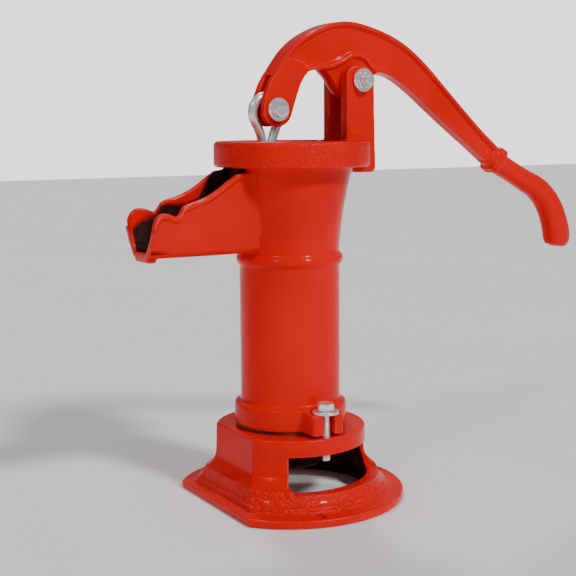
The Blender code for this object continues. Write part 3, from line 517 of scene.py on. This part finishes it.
def make_washer(name, centre, axis, low, thickness, radius):
    """A stamped washer: one face has rolled edges and the other is sharp."""
    high = low + thickness
    profile = [(radius - 0.15, low), (radius, low + 0.15), (radius, high - 0.6), (radius - 0.2, high - 0.2),
               (radius - 0.6, high), (4.8, high), (HOLE_RADIUS, high - 0.4), (HOLE_RADIUS, low)]
    return sharpen(turned(name, profile, 72, centre, axis), 40)


def make_hardware():
    made = {}
    for number, side in enumerate((NEAR, FAR), 1):
        centre = (0, side * COLLAR_BOLT_AT, 0)
        low = LUG_TOP + GAP
        seat = low + 2.2 + GAP
        made[f"collar_washer_{number}"] = make_washer(f"collar_washer_turned_{number}", centre, "z", low, 2.2, 11.4)
        made[f"collar_bolt_{number}"] = make_bolt(f"collar_bolt_threaded_{number}", centre, "z", seat, seat + 6.4,
                                                  44.0, turn=0.35)
    for prefix, x, z, half, head_side, turn in (("pivot", PIVOT_X, PIVOT_Z, POST_OUTER, FAR, 0.2),
                                                ("pin", PIN_X, PIN_Z, FORK_HALF, NEAR, 0.5)):
        centre = (x, 0, z)
        for name, side in (("head", head_side), ("nut", -head_side)):
            low = half + GAP if side > 0 else -half - GAP - 1.6
            made[f"{prefix}_washer_{name}_side"] = make_washer(f"{prefix}_washer_turned_{name}", centre, "y", low,
                                                               1.6, 10.0)
        seat = half + 1.6 + 2 * GAP
        made[f"{prefix}_bolt"] = make_bolt(f"{prefix}_bolt_threaded", centre, "y", head_side * seat,
                                           head_side * (seat + 5.4), -head_side * (seat + 9.6), turn=turn,
                                           plain=seat + 2.0)
        low, high = sorted((-head_side * seat, -head_side * (seat + 6.5)))
        made[f"{prefix}_nut"] = make_nut(f"{prefix}_nut_threaded", centre, "y", low, high, turn=turn + 0.3)
    return made


def tube(name, path, radius, steps=20):
    """A round rod in the plane y = 0, with rounded ends."""
    rings = []
    last = len(path) - 1
    for i, p in enumerate(path):
        along = (path[min(i + 1, last)] - path[max(i - 1, 0)]).normalized()
        across = Vector((-along.y, along.x))
        shapes = [(0.0, radius)]
        if i in (0, last):
            out = -1 if i == 0 else 1
            shapes = [(out * 0.9, radius - 1.3), (out * 0.5, radius - 0.4), (0.0, radius)]
            if i == last:
                shapes = shapes[::-1]
        for shift, reach in shapes:
            ring = []
            for j in range(steps):
                angle = 2 * math.pi * j / steps
                q = p + along * shift + across * (math.cos(angle) * reach)
                ring.append((q.x, math.sin(angle) * reach, q.y))
            rings.append(ring)
    return loft(name, rings)


def make_rod():
    leg, foot, neck = 4.2, ROD_FOOT_Z + 4.0, EYE_Z - 40.0
    ring = [(EYE_X + EYE_RING * math.cos(math.radians(a)), EYE_Z + EYE_RING * math.sin(math.radians(a)))
            for a in range(-36, 217, 12)]
    path = [(0.0, foot), ((EYE_X + leg) / 2, (foot + neck) / 2), (EYE_X + leg, neck),
            (EYE_X + leg, EYE_Z - 30.0), (EYE_X + 5.2, EYE_Z - 22.0), (EYE_X + 8.6, EYE_Z - 13.0), *ring,
            (EYE_X - 8.6, EYE_Z - 13.0), (EYE_X - 5.2, EYE_Z - 22.0), (EYE_X - leg, EYE_Z - 30.0),
            (EYE_X - leg, EYE_Z - 36.0)]
    rod = tube("rod_bent", curve_through(path, 4), ROD_RADIUS)
    outline = [(6.2, -4.0), (7.0, -3.2), (7.0, 3.2), (6.2, 4.0)]
    knuckle = turned("tool", outline, 48, (0, 0, ROD_FOOT_Z), "y", "capped")
    join(rod, knuckle)
    cut(rod, cylinder(2.8, -10, 10, (0, 0, ROD_FOOT_Z), "y", 32))
    return sharpen(rod, 40)


# ---------------------------------------------------------------- materials

class Nodes:
    """Builds a material's nodes."""

    def __init__(self, name):
        self.material = bpy.data.materials.new(name)
        self.material.use_nodes = True
        self.tree = self.material.node_tree
        self.shader = self.tree.nodes["Principled BSDF"]
        self.place = self.add("ShaderNodeTexCoord").outputs["Object"]

    def add(self, kind, **settings):
        node = self.tree.nodes.new(kind)
        for key, value in settings.items():
            setattr(node, key, value)
        return node

    def link(self, source, target):
        self.tree.links.new(source, target)

    def feed(self, socket, value):
        if isinstance(value, bpy.types.NodeSocket):
            self.link(value, socket)
        else:
            socket.default_value = value

    def noise(self, scale, detail=3.0, roughness=0.55, place=None):
        node = self.add("ShaderNodeTexNoise")
        self.link(place or self.place, node.inputs["Vector"])
        for key, value in (("Scale", scale), ("Detail", detail), ("Roughness", roughness)):
            node.inputs[key].default_value = value
        return node.outputs["Fac"]

    def cells(self, scale, feature="F1", place=None):
        node = self.add("ShaderNodeTexVoronoi", feature=feature)
        self.link(place or self.place, node.inputs["Vector"])
        node.inputs["Scale"].default_value = scale
        return node.outputs["Distance"]

    def maths(self, operation, a, b=0.0, c=0.0, clamp=False):
        node = self.add("ShaderNodeMath", operation=operation, use_clamp=clamp)
        for socket, value in zip(node.inputs, (a, b, c)):
            self.feed(socket, value)
        return node.outputs[0]

    def ramp(self, value, low, high, to_low=0.0, to_high=1.0, smooth=True):
        """value's range low to high becomes to_low to to_high."""
        node = self.add("ShaderNodeMapRange", interpolation_type="SMOOTHSTEP" if smooth else "LINEAR")
        for socket, v in zip(node.inputs, (value, low, high, to_low, to_high)):
            self.feed(socket, v)
        return node.outputs[0]

    def mix(self, share, a, b, blend="MIX"):
        node = self.add("ShaderNodeMix", data_type="RGBA", blend_type=blend)
        self.feed(node.inputs[0], share)
        self.feed(node.inputs[6], (*a, 1.0) if isinstance(a, tuple) else a)
        self.feed(node.inputs[7], (*b, 1.0) if isinstance(b, tuple) else b)
        return node.outputs[2]

    def axis(self, which):
        node = self.add("ShaderNodeSeparateXYZ")
        self.link(self.place, node.inputs[0])
        return node.outputs[which]

    def stretched(self, x, y, z):
        node = self.add("ShaderNodeMapping")
        self.link(self.place, node.inputs["Vector"])
        node.inputs["Scale"].default_value = (x, y, z)
        return node.outputs[0]

    def pointiness(self):
        return self.add("ShaderNodeNewGeometry").outputs["Pointiness"]

    def bump(self, height, distance, below=None):
        node = self.add("ShaderNodeBump")
        self.feed(node.inputs["Height"], height)
        node.inputs["Distance"].default_value = distance
        if below:
            self.link(below, node.inputs["Normal"])
        return node.outputs[0]

    def set(self, **inputs):
        for key, value in inputs.items():
            if isinstance(value, tuple) and len(value) == 3:
                value = (*value, 1.0)
            self.feed(self.shader.inputs[key.replace("_", " ")], value)


def iron_colour(n):
    """Bare, slightly rusted iron inside the castings. Its darkness also serves as painted shade there."""
    spots = n.ramp(n.noise(160, 5, 0.65), 0.42, 0.66)
    return n.mix(spots, (0.022, 0.006, 0.005), (0.050, 0.013, 0.009))


def enamel(name, grain_mask, bare_and_shade_mask=None):
    """Glossy red enamel over sand-cast iron, with painted highlights on its sharp edges and painted shade in its
    creases. grain_mask says how much of the sand's grain shows through, and the last mask where the casting turns
    dark iron colour: where it isn't painted, and where painted shade stands in for shadow."""
    n = Nodes(name)
    grain_share = grain_mask(n)
    red = n.mix(n.ramp(n.noise(9, 3), 0.35, 0.65), (0.72, 0.0008, 0.0010), (0.84, 0.0014, 0.0018))
    mottle = n.noise(560, 4, 0.65)
    red = n.mix(n.maths("MULTIPLY", n.ramp(mottle, 0.50, 0.66), n.maths("MULTIPLY", grain_share, 0.6)), red,
                (0.95, 0.060, 0.045))
    hollows = n.maths("MULTIPLY", n.ramp(mottle, 0.36, 0.48, 1.0, 0.0), n.maths("MULTIPLY", grain_share, 0.35))
    red = n.mix(hollows, red, (0.42, 0.0005, 0.0010))
    # Painted shade: creases and inner corners turn dark red.
    creases = n.ramp(n.pointiness(), 0.40, 0.487, 0.75, 0.0)
    red = n.mix(creases, red, (0.24, 0.0005, 0.0008))
    # Painted highlight: sharp edges turn a light red, as if they caught the light.
    painted_edge_highlight = n.ramp(n.maths("ADD", n.pointiness(), n.maths("MULTIPLY", n.noise(90, 4), 0.05)), 0.540, 0.60, 0.0, 0.65)
    red = n.mix(painted_edge_highlight, red, (1.0, 0.11, 0.09))
    dust = n.ramp(n.noise(700, 2), 0.70, 0.78, 0.0, 0.25)
    red = n.mix(dust, red, (0.36, 0.002, 0.002))

    lumps = n.maths("ADD", n.maths("MULTIPLY", n.noise(270, 2, 0.5), 0.6),
                    n.maths("MULTIPLY", n.noise(620, 3, 0.6), 0.6))
    pits = n.ramp(n.cells(760), 0.05, 0.55)
    sand = n.maths("ADD", n.maths("MULTIPLY", lumps, 0.75), n.maths("MULTIPLY", pits, 0.25))
    peel = n.noise(520, 1.5, 0.4)
    height = n.maths("ADD", n.maths("MULTIPLY", sand, n.maths("MULTIPLY_ADD", grain_share, 0.97, 0.03)),
                     n.maths("MULTIPLY", peel, 0.025))
    waves = n.bump(n.noise(26, 2, 0.5), 0.0012)
    normal = n.bump(height, 0.0015, waves)
    gloss = n.ramp(n.noise(48, 4), 0.3, 0.7, 0.11, 0.17)
    rough = n.maths("MULTIPLY_ADD", grain_share, 0.06, gloss)
    # Where the mask is set the colour is dark iron: bare iron, and painted shade in shadowed insides.
    if bare_and_shade_mask:
        bare_and_shade_share = bare_and_shade_mask(n)
        red = n.mix(bare_and_shade_share, red, iron_colour(n))
        rough = n.maths("ADD", n.maths("MULTIPLY", rough, n.maths("SUBTRACT", 1.0, bare_and_shade_share)),
                        n.maths("MULTIPLY", bare_and_shade_share, 0.62))
    n.set(Base_Color=red, Roughness=rough, Normal=normal, Specular_IOR_Level=0.08, Coat_Weight=0.08,
          Coat_Roughness=0.06)
    return n.material


def radius_from_axis(n):
    """Distance from the barrel's axis, in metres."""
    return n.maths("SQRT", n.maths("ADD", n.maths("POWER", n.maths("SUBTRACT", n.axis("X"), AXIS_X), 2.0),
                                   n.maths("POWER", n.axis("Y"), 2.0)))


def stand_grain(n):
    low = n.ramp(n.axis("Z"), 0.0225, 0.0255, 1.0, 0.16)
    flange = n.ramp(n.axis("Z"), 0.0068, 0.0085, 0.35, 1.0)
    patch = n.ramp(n.noise(30, 2), 0.35, 0.6, 0.55, 1.0)
    return n.maths("MULTIPLY", n.maths("MULTIPLY", low, flange), patch)


def body_grain(n):
    patch = n.ramp(n.noise(24, 2), 0.45, 0.7, 0.02, 0.10)
    collar = n.ramp(n.axis("Z"), 0.088, 0.094, 0.20, 0.0)
    return n.maths("ADD", patch, collar)


def cap_grain(n):
    patch = n.ramp(n.noise(34, 3), 0.35, 0.62, 0.18, 0.60)
    post = n.ramp(n.axis("Z"), 0.316, 0.330, 1.0, 0.75)
    return n.maths("MULTIPLY", patch, post)


def lever_grain(n):
    return n.ramp(n.noise(26, 3), 0.42, 0.7, 0.02, 0.16)


def body_bare_and_shade(n):
    """The bore and the bowl's inside aren't painted. The trough is dark up to a line that rises towards the bowl:
    bare iron, and painted shade where the channel and the bowl's mouth lie in shadow.
    """
    radius = radius_from_axis(n)
    wander = n.maths("MULTIPLY", n.maths("SUBTRACT", n.noise(60, 4), 0.5), 0.006)
    bore = n.ramp(n.maths("ADD", radius, wander), 0.0400, 0.0418, 1.0, 0.0)
    half = n.maths("ABSOLUTE", n.axis("Y"))
    # Painted shade: the trough goes dark up to this line, which climbs towards the bowl's mouth.
    painted_shade_line = n.maths("MAXIMUM", n.ramp(n.axis("X"), AXIS_X - 0.141, AXIS_X - 0.075, 0.243, 0.268, smooth=False),
                         n.ramp(n.axis("X"), AXIS_X - 0.082, AXIS_X - 0.060, 0.262, 0.300, smooth=False))
    depth = n.maths("SUBTRACT", n.maths("ADD", n.axis("Z"), wander), painted_shade_line)
    inside = n.maths("MULTIPLY", n.ramp(half, 0.0182, 0.0200, 1.0, 0.0), n.ramp(n.axis("Z"), 0.2240, 0.2255))
    floor = n.maths("MULTIPLY", inside, n.ramp(depth, -0.002, 0.003, 1.0, 0.0))
    front = n.maths("MULTIPLY", n.ramp(n.axis("X"), AXIS_X - 0.1405, AXIS_X - 0.1390),
                    n.ramp(n.axis("X"), AXIS_X - 0.020, AXIS_X, 1.0, 0.0))
    bowl = n.maths("MULTIPLY", n.ramp(radius, 0.0490, 0.0515, 1.0, 0.0),
                   n.maths("MULTIPLY", n.ramp(n.axis("Z"), 0.262, 0.270),
                           n.ramp(n.maths("SUBTRACT", radius, n.maths("MULTIPLY", n.axis("Z"), 0.19)),
                                  -0.0026, -0.0012, 1.0, 0.0)))
    return n.maths("MAXIMUM", n.maths("MAXIMUM", bore, bowl), n.maths("MULTIPLY", floor, front))


def stand_bare_and_shade(n):
    """The red overspray fades out inside the stand into dark iron colour: bare iron, and painted shade where the
    inside lies in shadow.
    """
    height = n.axis("Z")
    round_wall = n.maths("SUBTRACT", radius_from_axis(n), n.ramp(height, 0.0, 0.050, 0.0735, 0.0605, smooth=False))
    flat_wall = n.maths("SUBTRACT", n.maths("SUBTRACT", AXIS_X, n.axis("X")),
                        n.ramp(height, 0.0, 0.050, 0.0625, 0.0510, smooth=False))
    wander = n.maths("MULTIPLY", n.maths("SUBTRACT", n.noise(45, 4), 0.5), 0.003)
    depth = n.maths("ADD", n.maths("MAXIMUM", round_wall, flat_wall), wander)
    return n.maths("MULTIPLY", n.ramp(depth, -0.0010, 0.0008, 1.0, 0.0), n.ramp(height, 0.0520, 0.0560, 1.0, 0.0))


def zinc(name):
    """Bright zinc plate: a fine soft grain, a faint cool tint and painted shade in its inner corners."""
    n = Nodes(name)
    grain = n.noise(420, 3, 0.5)
    base = n.mix(n.ramp(grain, 0.3, 0.7), (0.90, 0.90, 0.92), (0.97, 0.97, 0.97))
    stain = n.ramp(n.noise(60, 3, 0.5), 0.50, 0.75, 0.0, 0.15)
    base = n.mix(stain, base, (0.70, 0.71, 0.76))
    # Painted shade: inner corners, such as where a head meets its washer, turn nearly black.
    painted_corner_shade = n.ramp(n.pointiness(), 0.36, 0.46, 0.85, 0.0)
    base = n.mix(painted_corner_shade, base, (0.10, 0.10, 0.11))
    n.set(Base_Color=base, Metallic=0.85, Roughness=0.24,
          Normal=n.bump(n.noise(300, 2), 0.000002))
    return n.material


def bright_steel(name):
    """Drawn steel rod with lengthwise die lines and a little oil stain."""
    n = Nodes(name)
    lines = n.noise(900, 2, 0.5, place=n.stretched(1.0, 1.0, 0.04))
    base = n.mix(n.ramp(lines, 0.3, 0.7), (0.82, 0.83, 0.85), (0.96, 0.96, 0.97))
    stain = n.ramp(n.noise(70, 4, 0.6), 0.58, 0.75, 0.0, 0.15)
    base = n.mix(stain, base, (0.50, 0.49, 0.48))
    n.set(Base_Color=base, Metallic=0.7, Roughness=n.ramp(lines, 0.3, 0.7, 0.22, 0.30),
          Normal=n.bump(lines, 0.000003))
    return n.material


def leather(name):
    """Oiled leather: pebbled grain, darker in the creases, and a fibrous edge."""
    n = Nodes(name)
    pebbles = n.cells(900, "SMOOTH_F1")
    creases = n.cells(420, "DISTANCE_TO_EDGE")
    tone = n.noise(40, 4)
    base = n.mix(n.ramp(tone, 0.3, 0.7), (0.055, 0.022, 0.011), (0.13, 0.060, 0.028))
    base = n.mix(n.ramp(creases, 0.0, 0.12, 0.6, 0.0), base, (0.05, 0.02, 0.01))
    height = n.maths("ADD", n.maths("MULTIPLY", pebbles, 0.5), n.ramp(creases, 0.0, 0.2))
    n.set(Base_Color=base, Roughness=n.ramp(tone, 0.3, 0.7, 0.45, 0.65), Normal=n.bump(height, 0.0002))
    return n.material


def bare_iron(name):
    """Dark unpainted iron with a few rusty patches."""
    n = Nodes(name)
    base = n.mix(n.ramp(n.noise(90, 5, 0.65), 0.55, 0.75), (0.075, 0.072, 0.070), (0.15, 0.055, 0.022))
    height = n.maths("ADD", n.noise(420, 4), n.maths("MULTIPLY", n.cells(800), 0.3))
    n.set(Base_Color=base, Metallic=0.6, Roughness=n.ramp(n.noise(200, 3), 0.3, 0.7, 0.48, 0.7),
          Normal=n.bump(height, 0.0004))
    return n.material


def brass(name):
    """Turned brass with tool marks round its axis and a dull film."""
    n = Nodes(name)
    marks = n.add("ShaderNodeTexWave", wave_type="RINGS", rings_direction="Z", wave_profile="TRI")
    n.link(n.place, marks.inputs["Vector"])
    marks.inputs["Scale"].default_value = 900
    film = n.noise(70, 5, 0.6)
    base = n.mix(n.ramp(film, 0.45, 0.7), (0.72, 0.48, 0.16), (0.40, 0.25, 0.10))
    n.set(Base_Color=base, Metallic=1.0, Roughness=n.ramp(film, 0.3, 0.7, 0.26, 0.45),
          Normal=n.bump(marks.outputs["Fac"], 0.00005))
    return n.material


# ---------------------------------------------------------------- assembly

def wear(target, look):
    target.data.materials.clear()
    target.data.materials.append(look)


def stand_in(target, node, body, look):
    """The piece is shown in place of its CAD node."""
    wear(target, look)
    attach(target, body)
    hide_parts(node)


body_of = {node: body for body, nodes in frame["record"]["behaviour"]["bodies"].items() for node in nodes}

stand_in(make_stand(), "base_stand", "stand", enamel("stand_enamel", stand_grain, stand_bare_and_shade))
stand_in(make_body(), "pump_body", "stand", enamel("body_enamel", body_grain, body_bare_and_shade))
stand_in(make_cap(), "cap_bracket", "cap", enamel("cap_enamel", cap_grain))
stand_in(make_lever(), "handle_lever", "lever", enamel("lever_enamel", lever_grain))
zinc_look = zinc("zinc_plated_steel")
for node, made in make_hardware().items():
    stand_in(made, node, body_of[node], zinc_look)
stand_in(make_rod(), "piston_rod", "rod", bright_steel("drawn_steel"))

carried = {"zinc_plate": zinc_look, "oiled_leather": leather("oiled_cup_leather"),
           "bare_iron": bare_iron("cast_bare_iron"), "valve_brass": brass("turned_brass")}
for entry in frame["record"]["subparts"]:
    look = carried.get(entry["material_slot"])
    target = frame["nodes"][entry["node"]]
    if look and not target.hide_render:
        for slot in target.material_slots:
            slot.material = look


# ---------------------------------------------------------------- floor, light and camera

FLOOR_HALF = 6.0  # metres
ROOM_LIGHT = 0.26
BACKDROP_LIGHT = 1.9  # what the camera sees past the floor


def make_stage():
    """The pale floor, a hair below the pump's foot."""
    mesh = bpy.data.meshes.new("floor")
    corners = [(x * FLOOR_HALF, y * FLOOR_HALF, 0) for x, y in ((-1, -1), (1, -1), (1, 1), (-1, 1))]
    mesh.from_pydata(corners, [], [(0, 1, 2, 3)])
    floor = bpy.data.objects.new("floor", mesh)
    floor.location = (0, 0, -0.0004)
    bpy.context.scene.collection.objects.link(floor)
    n = Nodes("pale_floor")
    tone = n.mix(n.noise(3.0, 2), (0.90, 0.90, 0.895), (0.93, 0.93, 0.925))
    n.set(Base_Color=tone, Roughness=0.75, Specular_IOR_Level=0.2)
    wear(floor, n.material)


def soft_light(name, source, strength, spread):
    """A far, round softbox in the direction source. spread is its width in degrees."""
    light = bpy.data.lights.new(name, "SUN")
    light.energy = strength
    light.angle = math.radians(spread)
    lamp = bpy.data.objects.new(name, light)
    lamp.rotation_euler = Vector(source).to_track_quat("Z", "Y").to_euler()
    bpy.context.scene.collection.objects.link(lamp)


def make_light():
    """A key light, a fill and a back light in a dim room, with a bright backdrop that lights nothing."""
    world = bpy.data.worlds.new("studio")
    bpy.context.scene.world = world
    world.use_nodes = True
    tree = world.node_tree
    room = tree.nodes["Background"]
    room.inputs["Strength"].default_value = ROOM_LIGHT
    backdrop = tree.nodes.new("ShaderNodeBackground")
    backdrop.inputs["Strength"].default_value = BACKDROP_LIGHT
    for shade in (room, backdrop):
        shade.inputs["Color"].default_value = (1.0, 1.0, 1.0, 1.0)
    seen = tree.nodes.new("ShaderNodeLightPath")
    both = tree.nodes.new("ShaderNodeMixShader")
    tree.links.new(seen.outputs["Is Camera Ray"], both.inputs[0])
    tree.links.new(room.outputs[0], both.inputs[1])
    tree.links.new(backdrop.outputs[0], both.inputs[2])
    tree.links.new(both.outputs[0], tree.nodes["World Output"].inputs["Surface"])
    soft_light("key", (0.30, -1.0, 0.95), 2.0, 8.0)
    soft_light("fill", (-1.0, -0.5, 0.9), 0.45, 7.0)
    soft_light("back", (0.3, 1.0, 1.3), 0.7, 8.0)


def make_camera():
    lens = bpy.data.cameras.new("camera")
    lens.sensor_width = 36.0
    lens.lens = 73.0
    camera = bpy.data.objects.new("camera", lens)
    camera.location = (AXIS_X - 0.51573, -0.87905, 0.32910)
    camera.rotation_euler = [math.radians(a) for a in (81.984, 0.352, -30.365)]
    bpy.context.scene.collection.objects.link(camera)
    bpy.context.scene.camera = camera


make_stage()
make_light()
make_camera()
